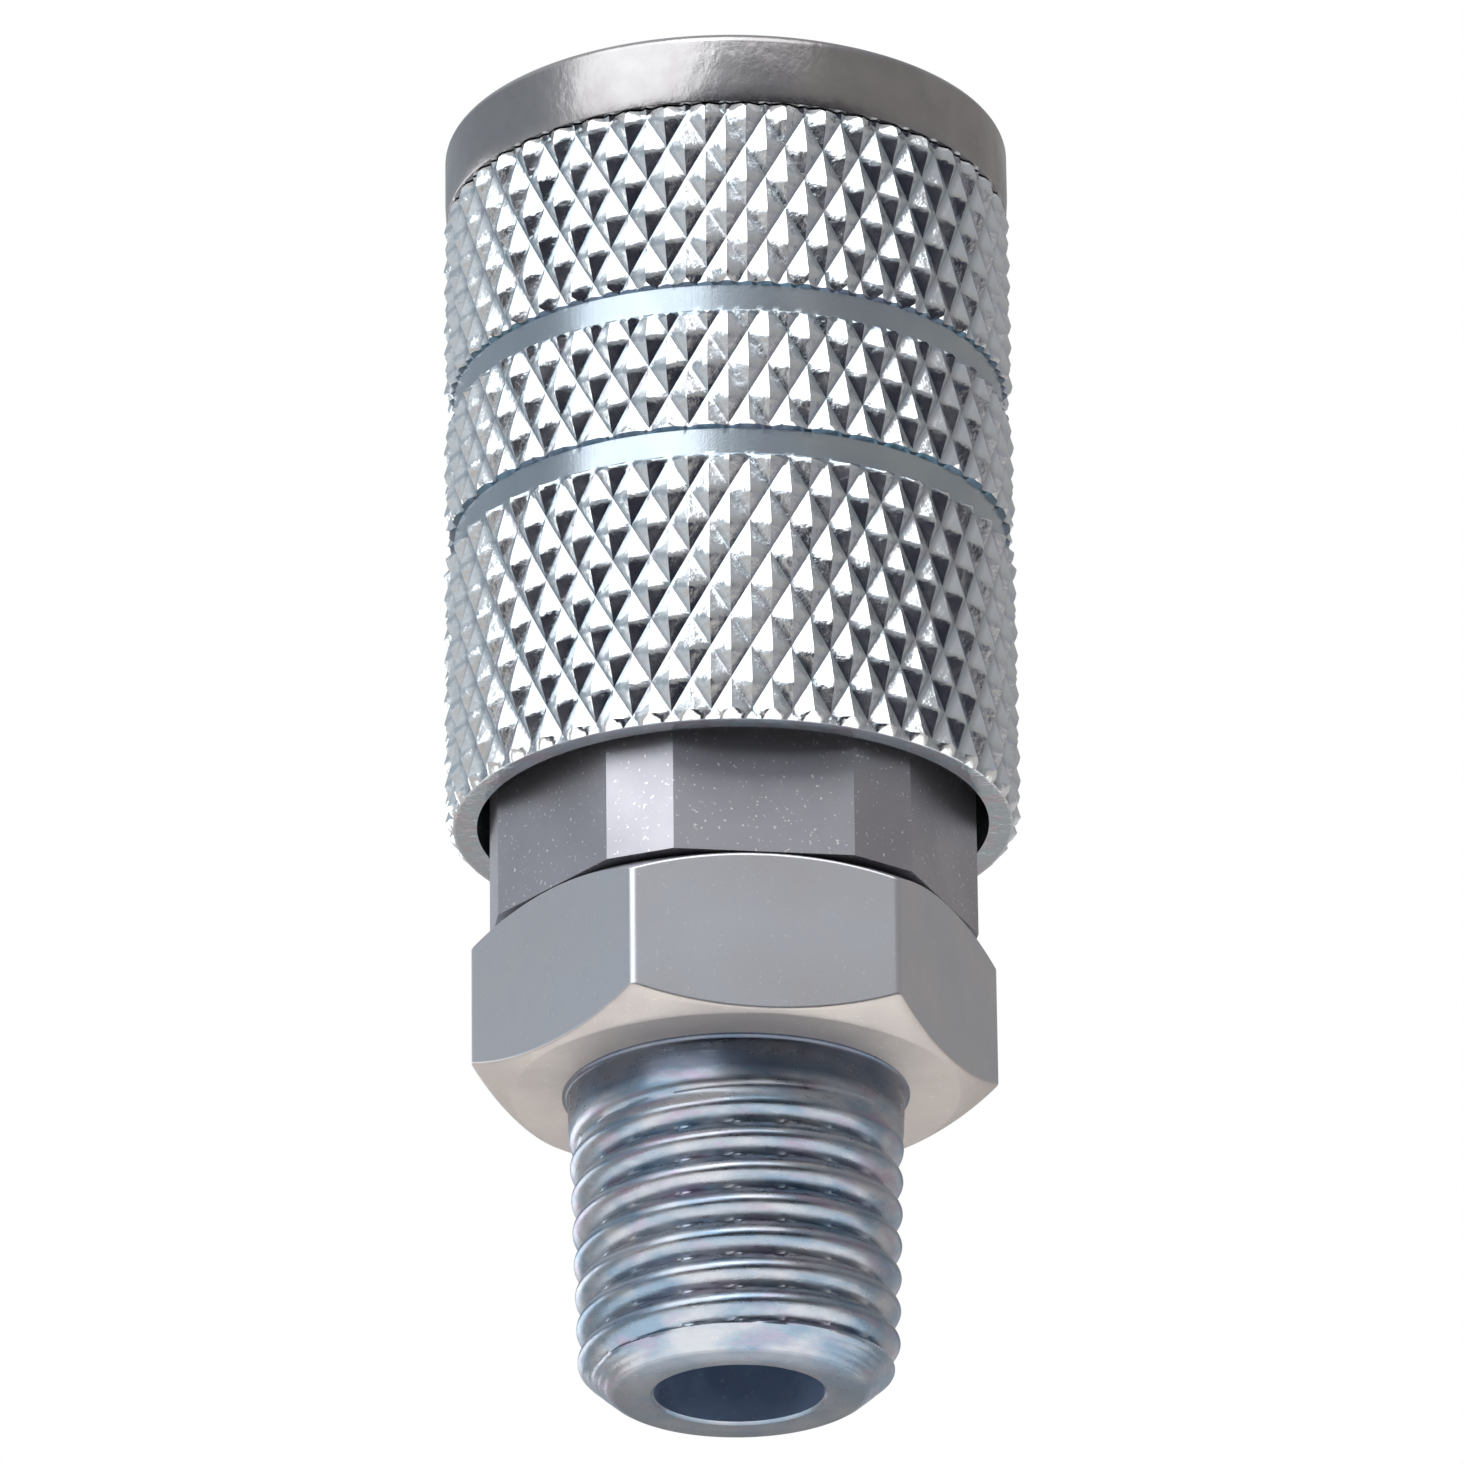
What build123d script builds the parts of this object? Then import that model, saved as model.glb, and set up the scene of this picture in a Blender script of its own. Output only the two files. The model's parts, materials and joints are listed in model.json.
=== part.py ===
from build123d import *
import math
import os

# Quick disconnect coupler: a ball-lock socket with a valve, on a male taper pipe thread.
# Millimetres. The axis is Z. The tip of the pipe thread is at height 0 and the socket mouth is on top.

# ---- Overall ----
overall_length = 56.0

# ---- Pipe thread end ----
port_diameter = 7.0
tip_diameter = 10.4
tip_chamfer_height = 1.2
thread_tip_diameter = 13.08
thread_taper = 1 / 16           # change of diameter along the axis
thread_pitch = 1.411            # 18 threads to the inch
thread_depth = 0.75
thread_length = 11.4
neck_length = 1.65

# ---- Hexagon ----
hex_across_flats = 19.05        # 3/4 inch wrench
hex_height = 7.05
hex_face_margin = 0.275         # the flat end faces stop this far inside the flats
hex_chamfer_angle = 30
hex_chamfer_crown = 0.04        # the chamfers bulge this much from a straight cone
hex_edge_radius = 0.4
hex_turn = 7.74                 # the front flat is turned this far from -Y towards +X

# ---- Plug that the socket takes ----
plug_diameter = 12.0
plug_tip_diameter = 7.9
mouth_chamfer = 0.7
tip_land = 1.0                  # plain bore above the packing

# ---- Locking balls ----
ball_diameter = 3.175           # 1/8 inch
ball_count = 6
ball_depth = 11.0               # below the socket mouth
ball_protrusion = 1.05          # into the plug's groove when locked
ball_standout = 0.275           # out of the barrel when locked
ball_hole_angle = 10            # taper of the ball holes, which keeps the balls in
ball_relief_depth = 0.2
ball_relief_margin = 0.2        # relief beyond the balls, above and below

# ---- Valve and seals ----
valve_travel = 4.0
valve_seat_width = 0.85
valve_seat_height = 3.3
valve_flow_gap = 0.5            # around the disc
valve_disc_height = 1.1
valve_face_height = 0.9
crown_gap = 0.22                # from the crown to the packing
crown_bore = 5.2
crown_floor = 0.3
window_width = 2.2
window_overlap = 1.6            # the windows are this much shorter than the valve's travel
window_sill = 1.15              # above the disc
stem_diameter = 3.0
stem_end_gap = 0.4              # from the chamber's floor to the stem's end
seal_ring_height = 0.7
plug_seal_height = 2.4
seal_squeeze = 0.05             # the packing's bore is this much smaller than the plug's tip
guide_height = 1.8
guide_hub_diameter = 5.0
guide_arm_width = 1.4
guide_arm_count = 3

# ---- Joint between adapter and socket body ----
chamber_wall = 1.15             # of the adapter's thin end, which clamps the valve seat
chamber_rise = 2.45             # chamber floor above the hexagon's lower face
clamp_length = 3.2
joint_step = 0.95               # from the thin end out to the joint's thread
joint_length = 7.9
gland_depth = 1.15
gland_width = 1.5
gland_start = 0.9               # above the hexagon

# ---- Socket body ----
flange_height = 8.9
flange_wall = 1.85              # at the middle of the wide sides
flange_corner_cut = 0.6         # the narrow sides stand this much further out
nose_recess = 0.4               # barrel end below the collar's face

# ---- Sleeve ----
sleeve_travel = 4.0
sleeve_wall = 1.361             # at the lower end
sleeve_end_gap = 0.9            # left above the hexagon when the sleeve is back
flange_gap = 0.53               # from the flange's corners to the sleeve
sleeve_edge = 0.37
sleeve_land_length = 3.0        # running land under the cam
groove_width = 1.1
groove_depth = 0.45
groove_heights = (11.9, 18.4)   # above the sleeve's lower end
knurl_edge = 0.25

# ---- Nose collar ----
collar_step = 0.08              # the collar is this much smaller than the sleeve, on the radius
collar_height = 3.2
collar_edge = 0.45
collar_ring_wire = 0.9
collar_ring_depth = 6.0         # below the socket mouth

# ---- Springs ----
sleeve_spring_wire = 0.9
sleeve_spring_pitch = 2.2
thrust_washer_thickness = 0.8
washer_gap = 0.44               # from the washer to the sleeve's bore
valve_spring_wire = 0.7
valve_spring_pitch = 1.6
spring_seat_margin = 0.25       # the valve spring's seats reach this far past its coils

# ---- Clearances, each on the radius unless it says otherwise ----
running_clearance = 0.05        # sleeve on barrel, plug in bore
ball_clearance = 0.02           # ball to cam and to the edge of the bore
hole_clearance = 0.03           # ball in its hole
joint_clearance = 0.05          # adapter in socket body
seat_clearance = 0.02           # faces that only just touch, along the axis
collar_clearance = 0.02         # collar on barrel
guide_clearance = 0.1           # sleeve on the collar's skirt, stem in its guide
valve_clearance = 0.15          # valve tube in the seat
stop_gap = 0.05                 # sleeve to collar, along the axis
end_gap = 0.1                   # joint bore past the adapter's shoulder, along the axis
skirt_gap = 0.5                 # collar's skirt above the balls, along the axis

# ---- Radii worked out from the sizes above, from the plug's bore outwards ----
ball_radius = ball_diameter / 2
plug_bore_radius = plug_diameter / 2 + running_clearance
ball_locked_radius = plug_bore_radius - ball_protrusion + ball_radius
barrel_radius = ball_locked_radius + ball_radius - ball_standout
land_radius = barrel_radius + running_clearance
tip_bore_radius = plug_tip_diameter / 2 + guide_clearance
crown_radius = tip_bore_radius - valve_clearance
disc_radius = tip_bore_radius + valve_seat_width
chamber_radius = disc_radius + valve_flow_gap
ring_radius = chamber_radius + chamber_wall
counterbore_radius = ring_radius + joint_clearance
joint_radius = ring_radius + joint_step
joint_bore_radius = joint_radius + joint_clearance
flange_wide_apothem = joint_bore_radius + flange_wall
flange_narrow_apothem = flange_wide_apothem + flange_corner_cut
flange_corner_radius = 2 * math.sqrt(
    flange_wide_apothem**2
    + flange_narrow_apothem**2
    - 2 * flange_wide_apothem * flange_narrow_apothem * math.cos(math.radians(30))
)
sleeve_bore_radius = flange_corner_radius + flange_gap
sleeve_radius = sleeve_bore_radius + sleeve_wall
collar_radius = sleeve_radius - collar_step
sleeve_spring_radius = (barrel_radius + sleeve_bore_radius) / 2
valve_spring_radius = disc_radius - spring_seat_margin - valve_spring_wire / 2

# ---- Heights worked out from the sizes above ----
hex_bottom = thread_length + neck_length
hex_top = hex_bottom + hex_height
chamber_floor = hex_bottom + chamber_rise
guide_top = chamber_floor + guide_height
shoulder_height = hex_top + joint_length
clamp_height = shoulder_height + clamp_length
flange_top = hex_top + flange_height
barrel_top = overall_length - nose_recess
ball_height = overall_length - ball_depth
sleeve_bottom = hex_top + sleeve_travel + sleeve_end_gap
collar_bottom = overall_length - collar_height
sleeve_top = collar_bottom - stop_gap
ring_height = overall_length - collar_ring_depth
seal_ring_bottom = clamp_height + valve_seat_height
plug_seal_bottom = seal_ring_bottom + seal_ring_height
plug_seal_top = plug_seal_bottom + plug_seal_height
disc_top = clamp_height - seat_clearance - valve_face_height
disc_bottom = disc_top - valve_disc_height
crown_top = plug_seal_bottom - crown_gap

# The sleeve's cam is a straight cone, so the balls move out in step with the sleeve.
ball_travel = ball_protrusion + ball_clearance
cam_slope = ball_travel / sleeve_travel
cam_angle = math.atan(cam_slope)
cam_radius_at_balls = ball_locked_radius + (ball_radius + ball_clearance) / math.cos(cam_angle)
cam_start = ball_height - (cam_radius_at_balls - land_radius) / cam_slope
cam_margin = 0.3                # the cone goes on this far past the balls' last contact
cam_end = ball_height + sleeve_travel + cam_margin
recess_radius = cam_radius_at_balls + cam_slope * (cam_end - ball_height)
skirt_radius = recess_radius - guide_clearance
skirt_bottom = ball_height + ball_radius + skirt_gap
skirt_toe_radius = skirt_radius - cam_slope * (cam_end - skirt_bottom)
sleeve_shoulder = cam_start - sleeve_land_length
thrust_washer_top = sleeve_shoulder - seat_clearance
thrust_washer_bottom = thrust_washer_top - thrust_washer_thickness


def turned(*points):
    """A solid turned about the axis, from its outline's (radius, height) corners."""
    outline = Polyline(*[(radius, 0, height) for radius, height in points], close=True)
    return revolve(make_face(outline), Axis.Z)


def ring(inner, outer, low, high):
    """A plain ring with a rectangular section."""
    return turned((inner, low), (outer, low), (outer, high), (inner, high))


def prism(apothem, low, high, turn, edge_radius=0):
    """A hexagonal prism standing on the axis."""
    outline = RegularPolygon(apothem, 6, major_radius=False, rotation=turn)
    if edge_radius:
        outline = fillet(outline.vertices(), edge_radius)
    return extrude(Plane.XY.offset(low) * outline, amount=high - low)


def coil(wire, radius, pitch, low, high):
    """A coil spring that fills the space between two heights. The radius is at the middle of the wire."""
    start = low + wire / 2
    path = Helix(pitch=pitch, height=high - low - wire, radius=radius, center=(0, 0, start))
    section = Plane(origin=path @ 0, z_dir=path % 0) * Circle(wire / 2)
    return sweep(section, path=path, is_frenet=True)


def thread_groove():
    """The helical groove between the turns of the taper thread."""
    slope = thread_taper / 2
    start = -thread_pitch
    radius = thread_tip_diameter / 2 + slope * start
    path = Helix(
        pitch=thread_pitch,
        height=thread_length - start,
        radius=radius,
        center=(0, 0, start),
        cone_angle=math.degrees(math.atan(slope)),
    )
    overshoot = 0.12
    root = 0.06
    mouth = 0.425 * thread_pitch
    corners = ((-thread_depth, -root), (overshoot, -mouth), (overshoot, mouth), (-thread_depth, root))
    outline = Polyline(*[(radius + out, 0, start + up) for out, up in corners], close=True)
    return sweep(make_face(outline), path=path, is_frenet=True)


def make_hexagon():
    """The wrench hexagon, whose corners are turned down to crowned chamfers at both ends."""
    face_radius = hex_across_flats / 2 - hex_face_margin
    corner_radius = hex_across_flats / math.sqrt(3)
    angle = math.radians(hex_chamfer_angle)
    rise = (corner_radius - face_radius) * math.tan(angle)
    crown_reach = (face_radius + corner_radius) / 2 + hex_chamfer_crown * math.sin(angle)
    crown_rise = rise / 2 - hex_chamfer_crown * math.cos(angle)
    outline = Polyline((corner_radius, 0, hex_bottom + rise), (corner_radius, 0, hex_top - rise))
    outline += ThreePointArc(
        (corner_radius, 0, hex_top - rise),
        (crown_reach, 0, hex_top - crown_rise),
        (face_radius, 0, hex_top),
    )
    outline += Polyline(
        (face_radius, 0, hex_top), (0, 0, hex_top), (0, 0, hex_bottom), (face_radius, 0, hex_bottom)
    )
    outline += ThreePointArc(
        (face_radius, 0, hex_bottom),
        (crown_reach, 0, hex_bottom + crown_rise),
        (corner_radius, 0, hex_bottom + rise),
    )
    blank = revolve(make_face(outline), Axis.Z)
    return prism(hex_across_flats / 2, hex_bottom, hex_top, hex_turn, hex_edge_radius) & blank


def make_adapter():
    """Pipe thread, hexagon and the spigot that screws into the socket body."""
    thread_radius = thread_tip_diameter / 2
    neck_radius = thread_radius + hex_bottom * thread_taper / 2
    shank = turned(
        (0, 0),
        (tip_diameter / 2, 0),
        (thread_radius + tip_chamfer_height * thread_taper / 2, tip_chamfer_height),
        (neck_radius, hex_bottom),
        (0, hex_bottom),
    )
    shank -= thread_groove()
    gland_low = hex_top + gland_start
    gland_high = gland_low + gland_width
    spigot = turned(
        (0, hex_top),
        (joint_radius, hex_top),
        (joint_radius, gland_low),
        (joint_radius - gland_depth, gland_low),
        (joint_radius - gland_depth, gland_high),
        (joint_radius, gland_high),
        (joint_radius, shoulder_height),
        (ring_radius, shoulder_height),
        (ring_radius, clamp_height),
        (0, clamp_height),
    )
    port_radius = port_diameter / 2
    hollow = turned(
        (0, 0),
        (port_radius, 0),
        (port_radius, chamber_floor),
        (chamber_radius, chamber_floor),
        (chamber_radius, clamp_height),
        (0, clamp_height),
    )
    return shank + make_hexagon() + spigot - hollow


def make_socket_body():
    """Twelve-sided flange and barrel, with the ball holes and the stepped plug bore."""
    flange = prism(flange_wide_apothem, hex_top, flange_top, hex_turn)
    flange &= prism(flange_narrow_apothem, hex_top, flange_top, hex_turn + 30)
    groove_radius = barrel_radius - collar_ring_wire / 2 - collar_clearance
    groove_half = collar_ring_wire / 2 + collar_clearance
    barrel = turned(
        (0, flange_top),
        (barrel_radius, flange_top),
        (barrel_radius, ring_height - groove_half),
        (groove_radius, ring_height - groove_half),
        (groove_radius, ring_height + groove_half),
        (barrel_radius, ring_height + groove_half),
        (barrel_radius, barrel_top),
        (0, barrel_top),
    )
    tip_cone_bottom = plug_seal_top + tip_land
    tip_cone_top = tip_cone_bottom + plug_bore_radius - tip_bore_radius
    relief_radius = plug_bore_radius + ball_relief_depth
    relief_low = ball_height - ball_radius - ball_relief_margin
    relief_high = ball_height + ball_radius + ball_relief_margin
    hollow = turned(
        (0, hex_top),
        (joint_bore_radius, hex_top),
        (joint_bore_radius, shoulder_height + end_gap),
        (counterbore_radius, shoulder_height + end_gap),
        (counterbore_radius, plug_seal_top),
        (tip_bore_radius, plug_seal_top),
        (tip_bore_radius, tip_cone_bottom),
        (plug_bore_radius, tip_cone_top),
        (plug_bore_radius, relief_low),
        (relief_radius, relief_low),
        (relief_radius, relief_high),
        (plug_bore_radius, relief_high),
        (plug_bore_radius, barrel_top - mouth_chamfer),
        (plug_bore_radius + mouth_chamfer, barrel_top),
        (0, barrel_top),
    )
    body = flange + barrel - hollow
    for number in range(ball_count):
        body -= ball_hole().rotate(Axis.Z, ball_direction(number))
    return body


def ball_direction(number):
    """The angle of a ball about the axis, in degrees from +X."""
    return 360 / ball_count * number


def ball_hole():
    """A tapered hole on +X, wide outside, with a lip at the bore that keeps the ball in."""
    slope = math.tan(math.radians(ball_hole_angle))
    middle = (ball_radius + hole_clearance) / math.cos(math.radians(ball_hole_angle))
    inner_end = plug_bore_radius - 1
    outer_end = barrel_radius + 1
    inner_radius = middle - slope * (ball_locked_radius - inner_end)
    outer_radius = middle + slope * (outer_end - ball_locked_radius)
    upwards = (Align.CENTER, Align.CENTER, Align.MIN)
    cone = Cone(inner_radius, outer_radius, outer_end - inner_end, align=upwards)
    return Location((inner_end, 0, ball_height), (0, 90, 0)) * cone


def make_ball(number):
    """One locking ball, in the locked position."""
    angle = math.radians(ball_direction(number))
    centre = (ball_locked_radius * math.cos(angle), ball_locked_radius * math.sin(angle), ball_height)
    return Location(centre) * Sphere(ball_radius)


def make_sleeve():
    """The outer sleeve: two grooves outside, spring bore, running land, cam and recess inside."""
    outline = [(sleeve_bore_radius, sleeve_bottom), (sleeve_radius - sleeve_edge, sleeve_bottom)]
    outline.append((sleeve_radius, sleeve_bottom + sleeve_edge))
    for height in groove_heights:
        low = sleeve_bottom + height
        high = low + groove_width
        outline.append((sleeve_radius, low - knurl_edge))
        outline.append((sleeve_radius - groove_depth, low))
        outline.append((sleeve_radius - groove_depth, high))
        outline.append((sleeve_radius, high + knurl_edge))
    outline.append((sleeve_radius, sleeve_top - knurl_edge))
    outline.append((sleeve_radius - knurl_edge, sleeve_top))
    outline.append((recess_radius, sleeve_top))
    outline.append((recess_radius, cam_end))
    outline.append((land_radius, cam_start))
    outline.append((land_radius, sleeve_shoulder))
    outline.append((sleeve_bore_radius, sleeve_shoulder))
    return turned(*outline)


def make_thrust_washer():
    """The washer between the spring and the sleeve's shoulder."""
    inner = barrel_radius + guide_clearance
    return ring(inner, sleeve_bore_radius - washer_gap, thrust_washer_bottom, thrust_washer_top)


def make_nose_collar():
    """The smooth band at the mouth, with a skirt inside the sleeve that follows its cam and recess."""
    bore_radius = barrel_radius + collar_clearance
    groove_radius = barrel_radius + collar_ring_wire / 2 + collar_clearance
    groove_half = collar_ring_wire / 2 + collar_clearance
    collar = turned(
        (bore_radius, skirt_bottom),
        (skirt_toe_radius, skirt_bottom),
        (skirt_radius, cam_end),
        (skirt_radius, collar_bottom),
        (collar_radius, collar_bottom),
        (collar_radius, overall_length),
        (bore_radius + nose_recess, overall_length),
        (bore_radius, barrel_top),
        (bore_radius, ring_height + groove_half),
        (groove_radius, ring_height + groove_half),
        (groove_radius, ring_height - groove_half),
        (bore_radius, ring_height - groove_half),
    )
    rim = collar.edges().filter_by(GeomType.CIRCLE).filter_by_position(Axis.Z, overall_length, overall_length)
    return fillet(rim.sort_by(SortBy.RADIUS)[-1], collar_edge)


def make_collar_ring():
    """The wire ring in the matching grooves of barrel and collar."""
    return Location((0, 0, ring_height)) * Torus(barrel_radius, collar_ring_wire / 2)


def make_joint_seal():
    """The O-ring between the adapter and the socket body."""
    gland_radius = joint_radius - gland_depth
    section_radius = (joint_bore_radius - gland_radius) / 2 - seat_clearance
    height = hex_top + gland_start + gland_width / 2
    return Location((0, 0, height)) * Torus((joint_bore_radius + gland_radius) / 2, section_radius)


def make_plug_seal():
    """The packing that closes on the plug's tip, with a lip groove on its pressure side."""
    inner = plug_tip_diameter / 2 - seal_squeeze
    outer = ring_radius
    middle = (inner + outer) / 2
    groove_half = 0.35
    groove_top = plug_seal_bottom + plug_seal_height / 2
    return turned(
        (inner, plug_seal_bottom),
        (middle - groove_half, plug_seal_bottom),
        (middle, groove_top),
        (middle + groove_half, plug_seal_bottom),
        (outer, plug_seal_bottom),
        (outer, plug_seal_top - seat_clearance),
        (inner + groove_half, plug_seal_top - seat_clearance),
        (inner, plug_seal_top - groove_half),
    )


def make_valve_poppet():
    """Disc, slotted crown that the plug's tip pushes, and the guide stem."""
    stem_radius = stem_diameter / 2
    stem_end = chamber_floor + stem_end_gap
    stem_chamfer = 0.3
    poppet = turned(
        (0, stem_end),
        (stem_radius - stem_chamfer, stem_end),
        (stem_radius, stem_end + stem_chamfer),
        (stem_radius, disc_bottom),
        (disc_radius, disc_bottom),
        (disc_radius, disc_top),
        (crown_radius, disc_top),
        (crown_radius, crown_top),
        (crown_bore / 2, crown_top),
        (crown_bore / 2, disc_top + crown_floor),
        (0, disc_top + crown_floor),
    )
    window_height = valve_travel - window_overlap
    window_height_middle = disc_top + window_sill + window_height / 2
    window = Box(2 * disc_radius, window_width, window_height)
    for turn in (0, 90):
        poppet -= Location((0, 0, window_height_middle), (0, 0, turn)) * window
    return poppet


def make_valve_guide():
    """A hub on three arms inside a rim, which guides the stem and carries the valve spring."""
    rim_outer = chamber_radius - joint_clearance
    rim_inner = valve_spring_radius - valve_spring_wire / 2 - spring_seat_margin
    hub_bore = stem_diameter / 2 + guide_clearance
    guide = ring(rim_inner, rim_outer, chamber_floor, guide_top)
    guide += ring(hub_bore, guide_hub_diameter / 2, chamber_floor, guide_top)
    arm_start = (hub_bore + guide_hub_diameter / 2) / 2
    arm_end = (rim_inner + rim_outer) / 2
    arm = Box(arm_end - arm_start, guide_arm_width, guide_height, align=(Align.MIN, Align.CENTER, Align.MIN))
    arm = Location((arm_start, 0, chamber_floor)) * arm
    for number in range(guide_arm_count):
        guide += arm.rotate(Axis.Z, 360 / guide_arm_count * number)
    return guide


parts = {
    "adapter": make_adapter(),
    "socket_body": make_socket_body(),
    "sleeve": make_sleeve(),
    "nose_collar": make_nose_collar(),
    "collar_ring": make_collar_ring(),
    "sleeve_spring": coil(
        sleeve_spring_wire, sleeve_spring_radius, sleeve_spring_pitch, flange_top, thrust_washer_bottom
    ),
    "thrust_washer": make_thrust_washer(),
    "joint_seal": make_joint_seal(),
    "valve_seat": ring(tip_bore_radius, ring_radius, clamp_height, seal_ring_bottom),
    "seal_ring": ring(tip_bore_radius, ring_radius, seal_ring_bottom, plug_seal_bottom),
    "plug_seal": make_plug_seal(),
    "valve_poppet": make_valve_poppet(),
    "valve_face": ring(crown_radius, disc_radius, disc_top, disc_top + valve_face_height),
    "valve_guide": make_valve_guide(),
    "valve_spring": coil(valve_spring_wire, valve_spring_radius, valve_spring_pitch, guide_top, disc_bottom),
}
for number in range(ball_count):
    parts[f"ball_{number + 1}"] = make_ball(number)

os.makedirs("parts", exist_ok=True)
for name, shape in parts.items():
    export_step(shape, f"parts/{name}.step")

print(f"ball travel {ball_travel:.4f} mm for {sleeve_travel} mm of the sleeve, ratio {cam_slope:.5f}")
print(f"spring seats: sleeve {flange_top:.3f}, valve {guide_top:.3f}")
print(f"plug bore radius {plug_bore_radius:.3f}, ball height {ball_height:.3f}, valve travel {valve_travel}")
print(f"radii: barrel {barrel_radius:.3f}, flange {flange_corner_radius:.3f}, sleeve {sleeve_radius:.3f}")
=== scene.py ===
import json
import math

import bpy
import numpy as np
from mathutils import Matrix, Vector


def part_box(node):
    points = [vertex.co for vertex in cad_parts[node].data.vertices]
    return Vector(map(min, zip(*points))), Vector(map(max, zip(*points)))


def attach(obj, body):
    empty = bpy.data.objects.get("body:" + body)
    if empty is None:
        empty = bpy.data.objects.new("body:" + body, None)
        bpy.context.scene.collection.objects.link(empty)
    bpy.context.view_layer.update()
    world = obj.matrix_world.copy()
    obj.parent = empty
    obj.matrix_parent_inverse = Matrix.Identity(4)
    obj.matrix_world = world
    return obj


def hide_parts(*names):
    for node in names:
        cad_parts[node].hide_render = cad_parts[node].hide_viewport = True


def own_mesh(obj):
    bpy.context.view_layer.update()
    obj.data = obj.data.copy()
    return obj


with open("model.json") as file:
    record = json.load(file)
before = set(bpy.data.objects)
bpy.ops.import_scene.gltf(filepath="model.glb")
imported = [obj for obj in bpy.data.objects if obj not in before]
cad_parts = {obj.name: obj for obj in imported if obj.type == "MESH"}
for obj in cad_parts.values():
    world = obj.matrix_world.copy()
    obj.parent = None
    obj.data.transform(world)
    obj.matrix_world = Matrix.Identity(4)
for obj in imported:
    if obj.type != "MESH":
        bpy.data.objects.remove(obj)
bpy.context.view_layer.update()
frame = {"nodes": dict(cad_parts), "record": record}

bl_info = {
    "name": "Quick disconnect coupler",
    "version": (1, 0, 0),
    "blender": (4, 5, 0),
    "location": "3D View > Sidebar > Coupler",
    "description": "Builds the looks of a ball-lock coupler around its packed CAD model",
    "category": "Object",
}

MM = 0.001
TURN = 2 * math.pi


# ---- What the frame says ----
def low(node):
    """Height of a node's lowest point."""
    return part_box(node)[0].z


def high(node):
    """Height of a node's highest point."""
    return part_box(node)[1].z


def reach(node):
    """Outer radius of a turned node."""
    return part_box(node)[1].x


def mount(name):
    """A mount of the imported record, by its name."""
    return next(m for m in frame["record"]["mounts"] if m["name"] == name)


FLAT = mount("wrench_flat_front")
HEX_APOTHEM = math.hypot(FLAT["pos_m"][0], FLAT["pos_m"][1])
HEX_TURN = math.atan2(FLAT["axis"][1], FLAT["axis"][0])
HEX_TOP = low("socket_body")
PORT_RADIUS = mount("flow_port")["dims"]["r_mm"] * MM
LENGTH = high("nose_collar")

# Sizes of the CAD part that no box gives, in metres. First the adapter:
TIP_RADIUS = 5.2 * MM
TIP_CHAMFER = 1.2 * MM
THREAD_TIP_RADIUS = 6.54 * MM
THREAD_SLOPE = 1 / 32
THREAD_LENGTH = 11.4 * MM
HEX_HEIGHT = 7.05 * MM
HEX_FACE_RADIUS = HEX_APOTHEM - 0.275 * MM
HEX_CORNER = 0.4 * MM
HEX_CROWN = 0.04 * MM
JOINT_RADIUS = 7.5 * MM
SHOULDER = 28.0 * MM
GLAND_RADIUS = 6.35 * MM
GLAND_HALF = 0.75 * MM
CHAMBER_GAP = 0.05 * MM
# Then the sleeve. Its inside radii are those round its spring, round the locked balls and round the released balls
SLEEVE_BORE = 10.639 * MM
SLEEVE_LAND = 7.95 * MM
SLEEVE_RECESS = 9.402 * MM
CAM_START = 43.874 * MM
CAM_END = 49.3 * MM
SEAT_GAP = 0.02 * MM
# Heights at which the sleeve's two grooves start
GROOVES = (36.9 * MM, 43.4 * MM)
GROOVE_WIDTH = 1.1 * MM
GROOVE_RADIUS = 11.55 * MM
KNURL_EDGE = 0.25 * MM
SLEEVE_EDGE = 0.37 * MM
# Last the nose collar and its skirt:
COLLAR_BORE = 7.92 * MM
COLLAR_BOTTOM = 52.8 * MM
COLLAR_EDGE = 0.45 * MM
NOSE_RECESS = 0.4 * MM
SKIRT_RADIUS = 9.302 * MM
SKIRT_TOE = 8.711 * MM
RING_GROOVE = 8.37 * MM
RING_HALF = 0.47 * MM

# Slots of the adapter's and the sleeve's finishes, in the order in which they are given
THREADED, HEXAGON, BORED, FACED = range(4)
# the sleeve's last slot is a painted shadow along the top edge of each groove
KNURLED, TURNED, GROOVE_SHADOW = range(3)


def linear(code):
    """An sRGB hex colour as linear red, green and blue, with an alpha of 1."""
    parts = [int(code[i : i + 2], 16) / 255 for i in (0, 2, 4)]
    return [c / 12.92 if c <= 0.04045 else ((c + 0.055) / 1.055) ** 2.4 for c in parts] + [1.0]


def length_property(name, description, millimetres):
    """A length setting, with its default in millimetres."""
    return bpy.props.FloatProperty(
        name=name,
        description=description,
        default=millimetres * MM,
        subtype="DISTANCE",
        unit="LENGTH",
        precision=5,
    )


def colour_property(name, description, code):
    """A colour setting, with its default as an sRGB hex code."""
    return bpy.props.FloatVectorProperty(
        name=name, description=description, default=linear(code), size=4, min=0, max=1, subtype="COLOR"
    )


class CouplerSizes(bpy.types.PropertyGroup):
    """Sizes of the surface detail."""

    thread_pitch: length_property("Thread pitch", "Distance between turns of the pipe thread", 1.411)
    thread_depth: length_property("Thread depth", "How deep the pipe thread is cut", 0.58)
    thread_runout: length_property("Thread run-out", "Length over which the thread fades at the neck", 1.5)
    knurl_count: bpy.props.IntProperty(
        name="Knurl count", description="Diamonds round the sleeve", default=44, min=8, max=80
    )
    knurl_height: length_property("Knurl height", "Height of one diamond along the sleeve", 2.83)
    knurl_depth: length_property("Knurl depth", "How far the diamonds stand above their valleys", 0.5)
    edge_break: length_property("Edge break", "Width of the broken edges of turned and milled faces", 0.06)
    sleeve_wire: length_property("Sleeve spring wire", "Diameter of the sleeve spring's wire", 0.9)
    sleeve_pitch: length_property("Sleeve spring pitch", "Rise of one open coil of the sleeve spring", 2.2)
    valve_wire: length_property("Valve spring wire", "Diameter of the valve spring's wire", 0.7)
    valve_pitch: length_property("Valve spring pitch", "Rise of one open coil of the valve spring", 1.6)


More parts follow.
